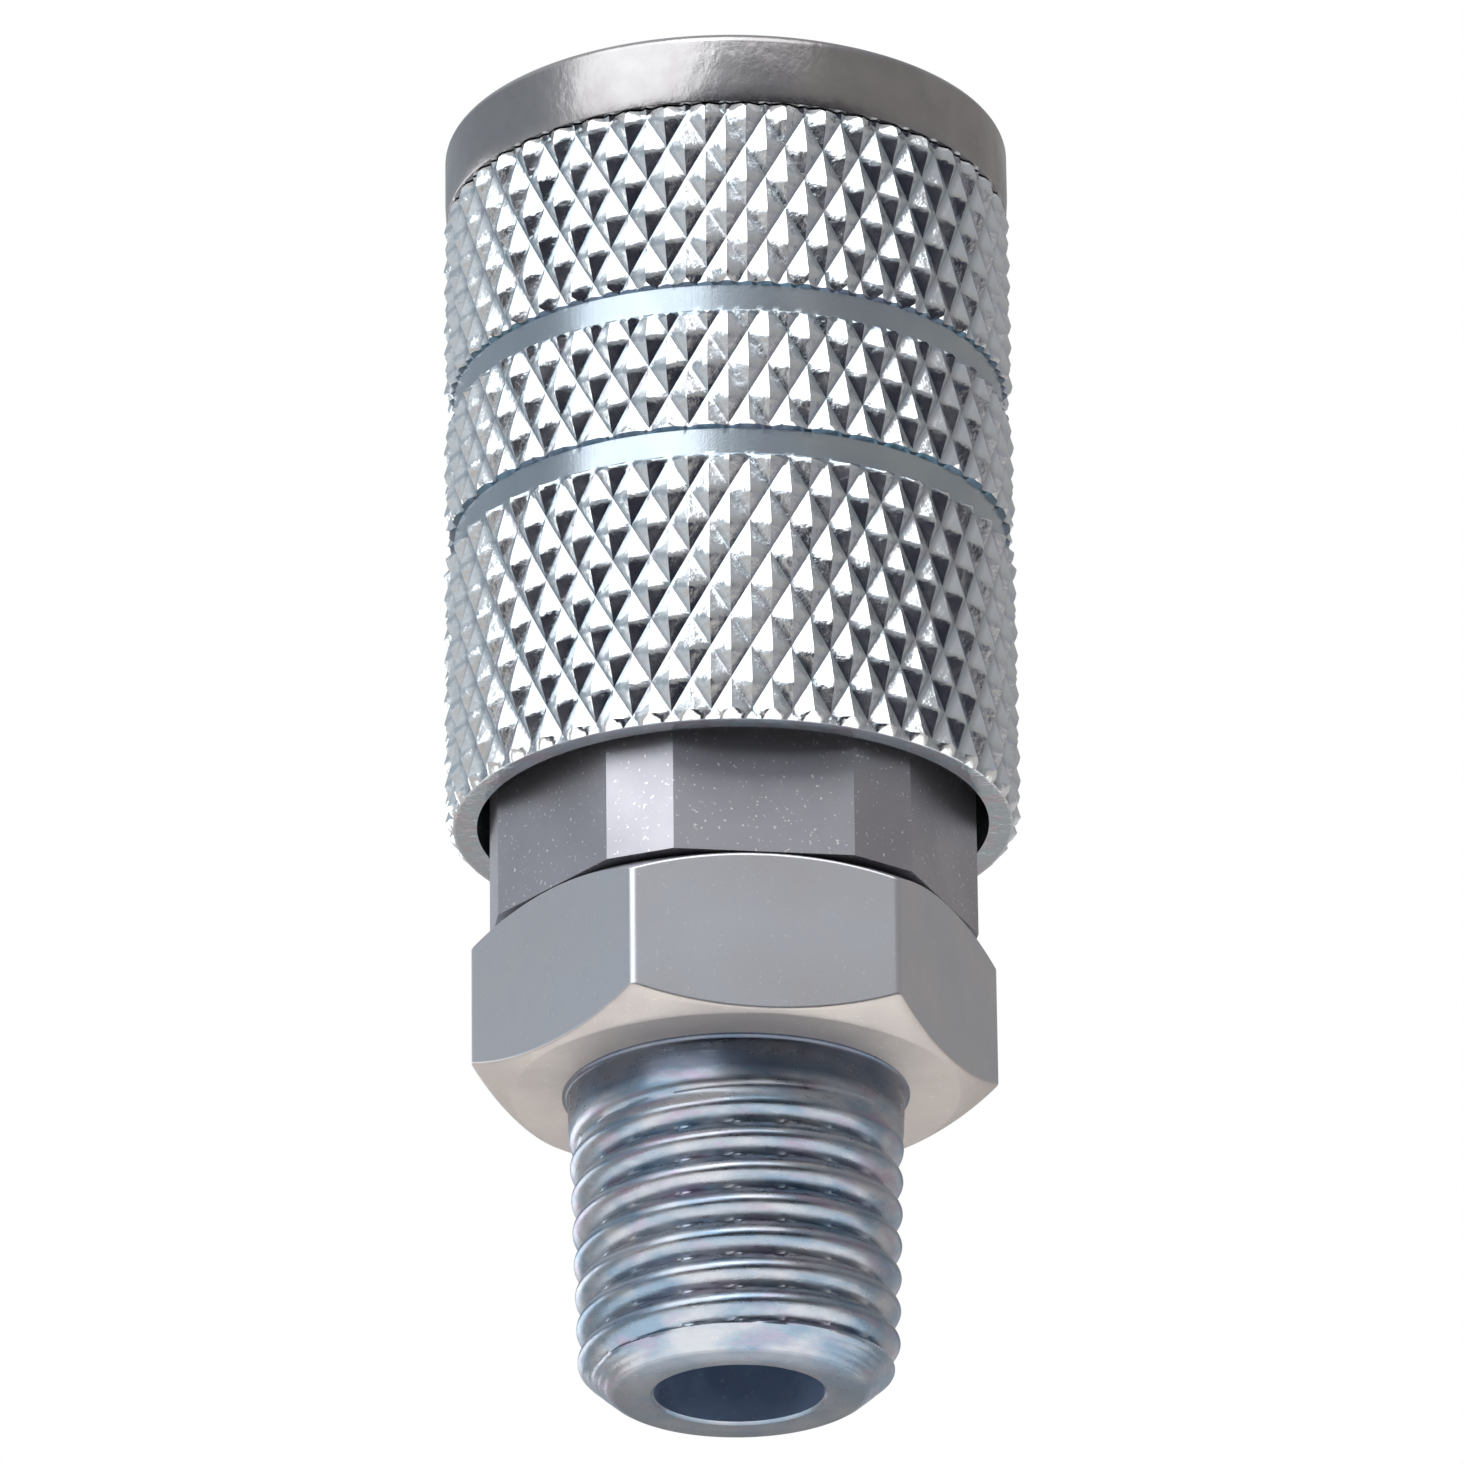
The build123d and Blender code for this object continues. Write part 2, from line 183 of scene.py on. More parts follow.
class CouplerColours(bpy.types.PropertyGroup):
    """Base colours of the finishes."""

    zinc: colour_property("Zinc", "Bright zinc plate on the knurl", "E6EBEE")
    # painted shade: the blue-grey painted into the bottoms of the knurl's valleys
    valley_shade: colour_property("Zinc valleys", "Dull plate deep in the knurl's valleys", "8299A6")
    thread_zinc: colour_property("Thread zinc", "Passivated zinc on the pipe thread", "AEB2B9")
    thread_blue: colour_property("Thread blue", "Blue bloom of the passivation", "7F93A6")
    thread_violet: colour_property("Thread violet", "Violet bloom of the passivation", "9F94A8")
    hexagon: colour_property("Hexagon", "Satin plate on the drawn hexagon bar", "CFCED1")
    body: colour_property("Socket body", "Satin plate on the flange and barrel", "B6B5BC")
    collar: colour_property("Nose collar", "Darker satin steel of the mouth band", "B0AEAE")
    spring: colour_property("Spring steel", "Drawn spring wire", "8D8D90")
    ball: colour_property("Ball steel", "Polished hardened balls", "D6D8DC")
    brass: colour_property("Brass", "Turned brass of the valve", "C9A45C")
    rubber: colour_property("Rubber", "Nitrile rubber of seals and packing", "141416")
    floor: colour_property("Floor", "Pale studio floor", "EDEAE6")


# ---- Materials ----
def add(tree, kind, inputs=(), **settings):
    """Adds a node with its settings, values and links.

    Inputs come as a dictionary by name or number, or as a tuple in the node's own order. Each is a value, a
    socket, or a node whose first output in use is linked.
    """
    made = tree.nodes.new(kind)
    for name, value in settings.items():
        setattr(made, name, value)
    for socket, value in inputs.items() if isinstance(inputs, dict) else enumerate(inputs):
        if isinstance(value, bpy.types.Node):
            value = next(output for output in value.outputs if output.enabled)
        if isinstance(value, bpy.types.NodeSocket):
            tree.links.new(value, made.inputs[socket])
        else:
            made.inputs[socket].default_value = value
    return made


def new_material(name):
    """An empty material, and the position in metres that its patterns follow."""
    material = bpy.data.materials.new(name)
    material.use_nodes = True
    material.node_tree.nodes.clear()
    place = add(material.node_tree, "ShaderNodeTexCoord").outputs["Object"]
    return material, material.node_tree, place


def grains(millimetres):
    """The scale of a noise whose grains are about this size."""
    return 1 / (millimetres * MM)


def knurled_zinc(colours, sizes, crest):
    """Bright zinc plate over a rolled diamond knurl.

    The facets mirror the studio over small dents, and the bottoms of the valleys are painted a blue-grey shade.
    """
    material, tree, place = new_material("knurled_zinc")
    across = add(tree, "ShaderNodeVectorMath", (place, (1, 1, 0)), operation="MULTIPLY")
    radius = add(tree, "ShaderNodeVectorMath", (across,), operation="LENGTH")
    deep, shallow = crest - sizes.knurl_depth, crest - 0.6 * sizes.knurl_depth
    # painted shade: the valleys darken towards their bottoms, where shade falls
    valley = add(tree, "ShaderNodeMapRange", (radius, deep, shallow, 0.7, 0.0))
    bloom = add(tree, "ShaderNodeTexNoise", {"Vector": place, "Scale": grains(1.2), "Detail": 4.0})
    patch = add(tree, "ShaderNodeMapRange", (bloom, 0.45, 0.6, 0, 1))
    valley_shade_colour = {0: patch, 6: colours.valley_shade, 7: linear("857A8A")}
    valley_shade_colour = add(tree, "ShaderNodeMix", valley_shade_colour, data_type="RGBA")
    colour = add(tree, "ShaderNodeMix", {0: valley, 6: colours.zinc, 7: valley_shade_colour}, data_type="RGBA")
    # rolling leaves scales of about 0.16 mm on the facets
    scales = {"Vector": place, "Scale": grains(0.16), "Detail": 3.0, "Roughness": 0.6}
    scales = add(tree, "ShaderNodeTexNoise", scales)
    dents = add(tree, "ShaderNodeTexNoise", {"Vector": place, "Scale": grains(0.45), "Detail": 2.0})
    scaly = add(tree, "ShaderNodeBump", {"Height": scales, "Distance": 0.008 * MM})
    dented = add(tree, "ShaderNodeBump", {"Height": dents, "Distance": 0.036 * MM, "Normal": scaly})
    rough = add(tree, "ShaderNodeMapRange", (bloom, 0.35, 0.65, 0.16, 0.26))
    finish = {"Base Color": colour, "Metallic": 1.0, "Roughness": rough, "Normal": dented}
    shader = add(tree, "ShaderNodeBsdfPrincipled", finish)
    add(tree, "ShaderNodeOutputMaterial", {"Surface": shader})
    return material


def passivated_zinc(colours):
    """Blue-passivated zinc on the cut pipe thread.

    The thin film colours the plate blue and violet in soft patches, over fine rings left by the die.
    """
    material, tree, place = new_material("passivated_zinc")
    # each film colour lies in flat patches that run round the thread
    film = add(tree, "ShaderNodeMapping", {"Vector": place, "Scale": (1, 1, 1 / 0.35)})
    film = add(tree, "ShaderNodeTexNoise", {"Vector": film, "Scale": grains(3.0), "Detail": 4.0})
    film = add(tree, "ShaderNodeMapRange", (film, 0.4, 0.62, 0, 1))
    shifted = add(tree, "ShaderNodeMapping", {"Vector": place, "Scale": (1 / 1.6, 1 / 1.6, 1 / 0.4)})
    shifted = add(tree, "ShaderNodeTexNoise", {"Vector": shifted, "Scale": grains(1.4), "Detail": 3.0})
    shifted = add(tree, "ShaderNodeMapRange", (shifted, 0.52, 0.7, 0, 0.8))
    colour = {0: film, 6: colours.thread_zinc, 7: colours.thread_blue}
    colour = add(tree, "ShaderNodeMix", colour, data_type="RGBA")
    colour = add(tree, "ShaderNodeMix", {0: shifted, 6: colour, 7: colours.thread_violet}, data_type="RGBA")
    height = add(tree, "ShaderNodeSeparateXYZ", (place,)).outputs["Z"]
    # painted shade: the corner under the hexagon is painted dark blue, where shade falls
    corner = add(tree, "ShaderNodeMapRange", (height, THREAD_LENGTH, THREAD_LENGTH + 0.4 * MM, 0, 0.7))
    colour = add(tree, "ShaderNodeMix", {0: corner, 6: colour, 7: linear("454E60")}, data_type="RGBA")
    # the end face is darker, fading out 0.12 mm above it
    darker_end = add(tree, "ShaderNodeMapRange", (height, 0, 0.12 * MM, 0.6, 0))
    colour = add(tree, "ShaderNodeMix", {0: darker_end, 6: colour, 7: linear("566270")}, data_type="RGBA")
    # die marks are about 0.02 mm apart, drawn at 0.12 mm to show
    rings = add(tree, "ShaderNodeMapping", {"Vector": place, "Scale": (1 / 30, 1 / 30, 1)})
    rings = {"Vector": rings, "Scale": grains(0.12), "Detail": 3.0, "Roughness": 0.6}
    rings = add(tree, "ShaderNodeTexNoise", rings)
    nicks = add(tree, "ShaderNodeMapping", {"Vector": place, "Scale": (1 / 2.5, 1 / 2.5, 1)})
    nicks = {"Vector": nicks, "Scale": grains(0.35), "Detail": 4.0, "Roughness": 0.6}
    nicks = add(tree, "ShaderNodeTexNoise", nicks)
    # the first turns are scuffed by handling, so the nicks fade away from the tip
    scuffed = add(tree, "ShaderNodeMapRange", (height, 1.5 * MM, 4.5 * MM, 1.0, 0.2))
    scuffs = add(tree, "ShaderNodeMath", (nicks, scuffed), operation="MULTIPLY")
    ringed = add(tree, "ShaderNodeBump", {"Height": rings, "Distance": 0.006 * MM})
    nicked = add(tree, "ShaderNodeBump", {"Height": scuffs, "Distance": 0.022 * MM, "Normal": ringed})
    rough = add(tree, "ShaderNodeMapRange", (nicks, 0.35, 0.7, 0.26, 0.38))
    finish = {"Base Color": colour, "Metallic": 1.0, "Roughness": rough, "Normal": nicked}
    shader = add(tree, "ShaderNodeBsdfPrincipled", finish)
    add(tree, "ShaderNodeOutputMaterial", {"Surface": shader})
    return material


def satin_zinc(name, colour, other, speck, least_rough):
    """Satin zinc plate on drawn or turned steel bar.

    It softens reflections to gradients, with faint lines along the bar and a few bright pinholes. `speck`
    is how much the pinholes show.
    """
    material, tree, place = new_material(name)
    clouds = add(tree, "ShaderNodeTexNoise", {"Vector": place, "Scale": grains(4.0), "Detail": 3.0})
    patch = add(tree, "ShaderNodeMapRange", (clouds, 0.35, 0.65, 0, 1))
    tint = add(tree, "ShaderNodeMix", {0: patch, 6: colour, 7: other}, data_type="RGBA")
    pinholes = add(tree, "ShaderNodeTexNoise", {"Vector": place, "Scale": grains(0.16), "Detail": 1.0})
    bright = add(tree, "ShaderNodeMapRange", (pinholes, 0.68, 0.74, 0, speck))
    tint = add(tree, "ShaderNodeMix", {0: bright, 6: tint, 7: linear("F2F2F0")}, data_type="RGBA")
    # drawing lines are finer than 0.05 mm, drawn at 0.14 mm to show
    lines = add(tree, "ShaderNodeMapping", {"Vector": place, "Scale": (1, 1, 1 / 30)})
    lines = add(tree, "ShaderNodeTexNoise", {"Vector": lines, "Scale": grains(0.14), "Detail": 3.0})
    grain = add(tree, "ShaderNodeTexNoise", {"Vector": place, "Scale": grains(0.09), "Detail": 2.0})
    lined = add(tree, "ShaderNodeBump", {"Height": lines, "Distance": 0.003 * MM})
    grained = add(tree, "ShaderNodeBump", {"Height": grain, "Distance": 0.003 * MM, "Normal": lined})
    rough = add(tree, "ShaderNodeMapRange", (clouds, 0.3, 0.7, least_rough, least_rough + 0.06))
    finish = {"Base Color": tint, "Metallic": 1.0, "Roughness": rough, "Normal": grained}
    shader = add(tree, "ShaderNodeBsdfPrincipled", finish)
    add(tree, "ShaderNodeOutputMaterial", {"Surface": shader})
    return material


def tumbled_steel(colours):
    """Tumbled steel under a thin dark plate.

    Tumbling leaves shallow overlapping dents, so its highlight is broad and slightly ragged.
    """
    material, tree, place = new_material("tumbled_steel")
    clouds = add(tree, "ShaderNodeTexNoise", {"Vector": place, "Scale": grains(2.5), "Detail": 4.0})
    patch = add(tree, "ShaderNodeMapRange", (clouds, 0.35, 0.65, 0, 1))
    colour = add(tree, "ShaderNodeMix", {0: patch, 6: colours.collar, 7: linear("A19E9F")}, data_type="RGBA")
    dents = add(tree, "ShaderNodeMapping", {"Vector": place, "Scale": (1, 1, 1 / 1.6)})
    dents = add(tree, "ShaderNodeTexNoise", {"Vector": dents, "Scale": grains(0.5), "Detail": 3.0})
    grain = add(tree, "ShaderNodeTexNoise", {"Vector": place, "Scale": grains(0.1), "Detail": 2.0})
    dented = add(tree, "ShaderNodeBump", {"Height": dents, "Distance": 0.022 * MM})
    grained = add(tree, "ShaderNodeBump", {"Height": grain, "Distance": 0.003 * MM, "Normal": dented})
    rough = add(tree, "ShaderNodeMapRange", (clouds, 0.3, 0.7, 0.2, 0.28))
    finish = {"Base Color": colour, "Metallic": 1.0, "Roughness": rough, "Normal": grained}
    shader = add(tree, "ShaderNodeBsdfPrincipled", finish)
    add(tree, "ShaderNodeOutputMaterial", {"Surface": shader})
    return material


def drawn_wire(colours):
    """Hard-drawn spring wire: a dark shine with faint draw marks."""
    material, tree, place = new_material("drawn_wire")
    clouds = add(tree, "ShaderNodeTexNoise", {"Vector": place, "Scale": grains(1.0), "Detail": 3.0})
    colour = add(tree, "ShaderNodeMix", {0: clouds, 6: colours.spring, 7: linear("5E5C5C")}, data_type="RGBA")
    marks = add(tree, "ShaderNodeMapping", {"Vector": place, "Scale": (1 / 6, 1 / 6, 1)})
    marks = add(tree, "ShaderNodeTexNoise", {"Vector": marks, "Scale": grains(0.08), "Detail": 3.0})
    marked = add(tree, "ShaderNodeBump", {"Height": marks, "Distance": 0.004 * MM})
    rough = add(tree, "ShaderNodeMapRange", (clouds, 0.3, 0.7, 0.25, 0.4))
    finish = {"Base Color": colour, "Metallic": 1.0, "Roughness": rough, "Normal": marked}
    shader = add(tree, "ShaderNodeBsdfPrincipled", finish)
    add(tree, "ShaderNodeOutputMaterial", {"Surface": shader})
    return material


def polished_steel(colours):
    """Lapped bearing steel: near mirror, with the faintest haze."""
    material, tree, place = new_material("polished_steel")
    haze = add(tree, "ShaderNodeTexNoise", {"Vector": place, "Scale": grains(0.6), "Detail": 3.0})
    colour = add(tree, "ShaderNodeMix", {0: haze, 6: colours.ball, 7: linear("C4C7CC")}, data_type="RGBA")
    hazed = add(tree, "ShaderNodeBump", {"Height": haze, "Distance": 0.001 * MM})
    rough = add(tree, "ShaderNodeMapRange", (haze, 0.3, 0.7, 0.05, 0.12))
    finish = {"Base Color": colour, "Metallic": 1.0, "Roughness": rough, "Normal": hazed}
    shader = add(tree, "ShaderNodeBsdfPrincipled", finish)
    add(tree, "ShaderNodeOutputMaterial", {"Surface": shader})
    return material


def turned_brass(colours):
    """Turned brass: warm yellow with fine lathe rings."""
    material, tree, place = new_material("turned_brass")
    clouds = add(tree, "ShaderNodeTexNoise", {"Vector": place, "Scale": grains(2.0), "Detail": 3.0})
    colour = add(tree, "ShaderNodeMix", {0: clouds, 6: colours.brass, 7: linear("A98445")}, data_type="RGBA")
    # feed marks are about 0.05 mm apart, drawn at 0.1 mm to show
    rings = add(tree, "ShaderNodeMapping", {"Vector": place, "Scale": (1 / 25, 1 / 25, 1)})
    rings = add(tree, "ShaderNodeTexNoise", {"Vector": rings, "Scale": grains(0.1), "Detail": 2.0})
    ringed = add(tree, "ShaderNodeBump", {"Height": rings, "Distance": 0.004 * MM})
    rough = add(tree, "ShaderNodeMapRange", (clouds, 0.3, 0.7, 0.2, 0.32))
    finish = {"Base Color": colour, "Metallic": 1.0, "Roughness": rough, "Normal": ringed}
    shader = add(tree, "ShaderNodeBsdfPrincipled", finish)
    add(tree, "ShaderNodeOutputMaterial", {"Surface": shader})
    return material


def moulded_rubber(colours):
    """Moulded nitrile rubber: matt black with a fine grain and a greyish bloom."""
    material, tree, place = new_material("moulded_rubber")
    bloom = add(tree, "ShaderNodeTexNoise", {"Vector": place, "Scale": grains(1.5), "Detail": 4.0})
    patch = add(tree, "ShaderNodeMapRange", (bloom, 0.4, 0.7, 0, 0.6))
    colour = add(tree, "ShaderNodeMix", {0: patch, 6: colours.rubber, 7: linear("2A2A2C")}, data_type="RGBA")
    grain = add(tree, "ShaderNodeTexNoise", {"Vector": place, "Scale": grains(0.08), "Detail": 3.0})
    grained = add(tree, "ShaderNodeBump", {"Height": grain, "Distance": 0.006 * MM})
    rough = add(tree, "ShaderNodeMapRange", (bloom, 0.3, 0.7, 0.5, 0.68))
    finish = {"Base Color": colour, "Metallic": 0.0, "Roughness": rough, "IOR": 1.5, "Normal": grained}
    shader = add(tree, "ShaderNodeBsdfPrincipled", finish)
    add(tree, "ShaderNodeOutputMaterial", {"Surface": shader})
    return material


def studio_floor(colours):
    """Matt painted floor: pale, with faint broad clouds."""
    material, tree, place = new_material("studio_floor")
    clouds = add(tree, "ShaderNodeTexNoise", {"Vector": place, "Scale": grains(400), "Detail": 3.0})
    colour = add(tree, "ShaderNodeMix", {0: clouds, 6: colours.floor, 7: linear("F4F2EF")}, data_type="RGBA")
    uneven = add(tree, "ShaderNodeBump", {"Height": clouds, "Distance": 0.5 * MM})
    finish = {"Base Color": colour, "Metallic": 0.0, "Roughness": 0.9, "Normal": uneven}
    shader = add(tree, "ShaderNodeBsdfPrincipled", finish)
    add(tree, "ShaderNodeOutputMaterial", {"Surface": shader})
    return material


def give(node, *materials):
    """Puts materials in the slots of a CAD node or a piece."""
    thing = frame["nodes"][node] if isinstance(node, str) else node
    # clearing a mesh's materials also clears the slot of each face, so a new piece's list is left alone
    if thing.data.materials:
        thing.data.materials.clear()
    for material in materials:
        thing.data.materials.append(material)


# ---- Meshes ----
def turned_mesh(name, rows, angles, bands=(), diagonals=None, crease=30):
    """A closed ring-shaped mesh about the axis.

    Each row is (radii, heights), numbers or one per angle, and the last row joins the first. Each band is
    (first row, end row, material slot). diagonals, if given, is a function of a row, all radii, all heights
    and the angles. It returns None for a row of plain quads, or for each face whether it splits from its
    first corner.
    """
    angles = np.asarray(angles, float)
    count, total = len(angles), len(rows)
    ones = np.ones(count)
    radii = np.array([ones * radius for radius, height in rows])
    heights = np.array([ones * height for radius, height in rows])
    points = np.stack([radii * np.cos(angles), radii * np.sin(angles), heights], axis=-1).reshape(-1, 3)
    first = np.arange(total)[:, None] * count + np.arange(count)[None, :]
    right = np.roll(first, -1, axis=1)
    above = np.roll(first, -1, axis=0)
    corner = np.roll(above, -1, axis=1)
    quads = np.stack([first, right, corner, above], axis=-1)
    faces = []
    owner = []
    for row in range(total):
        split = diagonals(row, radii, heights, angles) if diagonals else None
        if split is None:
            faces += quads[row].tolist()
            owner += [row] * count
            continue
        for (a, b, c, d), from_first in zip(quads[row].tolist(), split.tolist()):
            faces += [[a, b, c], [a, c, d]] if from_first else [[a, b, d], [b, c, d]]
        owner += [row] * (2 * count)
    mesh = bpy.data.meshes.new(name)
    mesh.from_pydata(points.tolist(), [], faces)
    owner = np.array(owner)
    slots = np.zeros(len(faces), np.int32)
    for start, end, slot in bands:
        slots[(owner >= start) & (owner < end)] = slot
    mesh.polygons.foreach_set("material_index", slots)
    return new_piece(name, mesh, crease)


def new_piece(name, mesh, crease):
    """Links a mesh as a piece, smooth but for edges sharper than `crease` degrees."""
    mesh.validate()
    mesh.polygons.foreach_set("use_smooth", [True] * len(mesh.polygons))
    mesh.set_sharp_from_angle(angle=math.radians(crease))
    piece = bpy.data.objects.new(name, mesh)
    bpy.context.scene.collection.objects.link(piece)
    return piece


def stand_in(piece, node, body):
    """Says which CAD node a piece replaces and what it rides on: hides the node and puts the piece on the body."""
    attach(piece, body)
    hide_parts(node)


def smooth_step(x):
    """Goes from 0 to 1 with level ends."""
    x = np.clip(x, 0.0, 1.0)
    return x * x * (3 - 2 * x)


def chain(outline, edge):
    """Rows along a closed outline of (radius, height) corners, each corner broken by `edge`."""
    rows = []
    for number, corner in enumerate(outline):
        corner = Vector(corner)
        for other in (outline[number - 1], outline[(number + 1) % len(outline)]):
            away = Vector(other) - corner
            rows.append(tuple(corner + away * min(edge / away.length, 0.3)))
    return rows


def flat_half_angle():
    """Angle from the middle of a hexagon flat to the start of its rounded corner."""
    return math.atan((HEX_APOTHEM - HEX_CORNER) * math.tan(TURN / 12) / HEX_APOTHEM)


def hexagon_radius(angles):
    """Radius of the hexagon's rounded outline at each angle."""
    off = np.abs((angles - HEX_TURN + TURN / 12) % (TURN / 6) - TURN / 12)
    flat = HEX_APOTHEM / np.cos(off)
    centre = (HEX_APOTHEM - HEX_CORNER) / math.cos(TURN / 12)
    swing = TURN / 12 - off
    inside = np.maximum(HEX_CORNER**2 - (centre * np.sin(swing)) ** 2, 0)
    return np.where(off <= flat_half_angle(), flat, centre * np.cos(swing) + np.sqrt(inside))


def hexagon_angles():
    """Angles for the adapter's columns, close together at the hexagon's rounded corners."""
    half = flat_half_angle()
    # a column just inside each end of a flat keeps the flat's shading even
    guard = math.radians(0.12)
    steps = list(np.linspace(-half + guard, half - guard, 31))
    steps += list(np.linspace(half, TURN / 6 - half, 9))
    return np.sort(np.concatenate([HEX_TURN + side * TURN / 6 + np.array(steps) for side in range(6)]))


def hexagon_chamfer(radii):
    """Height of the crowned chamfer above the hexagon's end face, at each radius."""
    corner = HEX_APOTHEM / math.cos(TURN / 12)
    share = (radii - HEX_FACE_RADIUS) / (corner - HEX_FACE_RADIUS)
    crown = 4 * HEX_CROWN * share * (1 - share) / math.cos(TURN / 12)
    return (radii - HEX_FACE_RADIUS) * math.tan(TURN / 12) - crown


def thread_rows(sizes, angles, end):
    """Rows of the taper pipe thread, from its chamfered start to its run-out at the neck."""
    rows_per_turn = 18
    # above 1, this power rounds the crests and leaves the roots sharp
    crest_roundness = 1.75
    unevenness = 0.02 * MM
    tool_mark_depth, tool_mark_spacing = 0.05 * MM, 0.21 * MM
    step = sizes.thread_pitch / rows_per_turn
    rows = []
    for height in np.arange(step, end, step):
        crest = THREAD_TIP_RADIUS + height * THREAD_SLOPE
        turns = (height / sizes.thread_pitch - angles / TURN) % 1.0
        groove = np.abs(2 * turns - 1) ** crest_roundness
        fade = smooth_step((THREAD_LENGTH - height) / sizes.thread_runout)
        uneven = unevenness * np.sin(5 * angles + 3.1 * height / sizes.thread_pitch) * groove
        radii = crest - sizes.thread_depth * fade * groove - np.abs(uneven)
        chamfer = TIP_RADIUS + (THREAD_TIP_RADIUS - TIP_RADIUS + 0.04 * MM) * height / TIP_CHAMFER
        rings = np.sin(TURN / 2 * height / tool_mark_spacing + 0.5 * np.sin(angles)) ** 2
        rows.append((np.minimum(radii, chamfer - tool_mark_depth * rings), height))
    return rows


def adapter_piece(sizes):
    """Pipe thread, hexagon and spigot in one turned mesh."""
    angles = hexagon_angles()
    bottom = HEX_TOP - HEX_HEIGHT
    edge = sizes.edge_break
    neck = THREAD_TIP_RADIUS + bottom * THREAD_SLOPE
    bore_edge = 0.12 * MM
    rows = [(PORT_RADIUS, bore_edge), (PORT_RADIUS + bore_edge, 0.0), (TIP_RADIUS - 2 * edge, 0.0)]
    rows.append((TIP_RADIUS, 1.2 * edge))
    rows += thread_rows(sizes, angles, THREAD_LENGTH)
    fillet = 0.22 * MM
    for height in np.linspace(THREAD_LENGTH, bottom - fillet, 6):
        rows.append((neck - (bottom - height) * THREAD_SLOPE, height))
    for swing in np.linspace(0.2, 1.0, 5) * TURN / 4:
        rows.append((neck + fillet * (1 - math.cos(swing)), bottom - fillet + fillet * math.sin(swing)))
    underside = len(rows) - 1
    outline = hexagon_radius(angles)
    # radii and rises from a hexagon's end face, over its chamfer, to its flats
    crown = [(HEX_FACE_RADIUS - edge, 0.0), (HEX_FACE_RADIUS + 0.3 * edge, 0.25 * edge)]
    for share in (0.15, 0.4, 0.7):
        radii = HEX_FACE_RADIUS + (outline - HEX_FACE_RADIUS) * share
        crown.append((radii, hexagon_chamfer(radii)))
    crown.append((outline - 0.6 * edge, hexagon_chamfer(outline - 0.6 * edge)))
    crown.append((outline, hexagon_chamfer(outline) + 0.6 * edge))
    rows += [(radii, bottom + rise) for radii, rise in crown]
    start, end = bottom + crown[-1][1], HEX_TOP - crown[-1][1]
    # the rows close to both ends keep the flats' shading even
    rows += [(outline, start + (end - start) * share) for share in (0.012, 0.25, 0.5, 0.75, 0.988)]
    rows += [(radii, HEX_TOP - rise) for radii, rise in reversed(crown)]
    gland = (low("joint_seal") + high("joint_seal")) / 2
    chamber = reach("valve_guide") + CHAMBER_GAP
    spigot = [
        (JOINT_RADIUS, HEX_TOP),
        (JOINT_RADIUS, gland - GLAND_HALF),
        (GLAND_RADIUS, gland - GLAND_HALF),
        (GLAND_RADIUS, gland + GLAND_HALF),
        (JOINT_RADIUS, gland + GLAND_HALF),
        (JOINT_RADIUS, SHOULDER),
        (reach("valve_seat"), SHOULDER),
        (reach("valve_seat"), low("valve_seat")),
        (chamber, low("valve_seat")),
        (chamber, low("valve_guide")),
        (PORT_RADIUS, low("valve_guide")),
    ]
    rows += chain(spigot, edge)[1:-1]
    rows.append((PORT_RADIUS, low("valve_guide") / 2))
    flats, bore = underside + len(crown), len(rows) - 3
    bands = [(underside, flats, FACED), (flats, bore, HEXAGON), (bore, len(rows), BORED)]
    return turned_mesh("adapter_mesh", rows, angles, bands, crease=34)


def knurl(sizes, angles, height):
    """How far the knurl lies below its crests: four-sided points with round valleys."""
    around = sizes.knurl_count * angles / TURN
    along = height / sizes.knurl_height

    def steepness(pushed):
        """0 on the points and 1 in the valleys, which both lie lower by this share of a diamond."""
        lines = (around + along + pushed, around - along - pushed)
        return np.maximum(*[2 * np.abs(line - np.round(line)) for line in lines])

    # rolling pushes each point a tenth of a diamond down the sleeve, and its valleys stay in place
    steep = steepness(0.1 * (1 - steepness(0)))
    # shares of the slope that are rounded off at the points and in the valleys
    tip, valley = 0.16, 0.12
    tipped = np.where(steep < tip, (steep**2 + tip**2) / (2 * tip), steep)
    rounded = tipped - np.maximum(steep - (1 - valley), 0) ** 2 / (2 * valley)
    uneven = 0.02 * np.sin(2.3 * around + 1.7 * along) + 0.015 * np.sin(5.1 * along - 3.3 * around)
    return sizes.knurl_depth * (rounded - tip / 2 + np.abs(uneven))


def sleeve_outline(height, bottom, top, radius):
    """Radius of the sleeve's plain outline at a height: edges and grooves."""
    limits = [radius, radius - SLEEVE_EDGE + (height - bottom), radius - KNURL_EDGE + (top - height)]
    for groove in GROOVES:
        depth = radius - GROOVE_RADIUS
        outside = max(groove - height, height - groove - GROOVE_WIDTH, 0)
        limits.append(GROOVE_RADIUS + depth * outside / KNURL_EDGE)
    return min(limits)


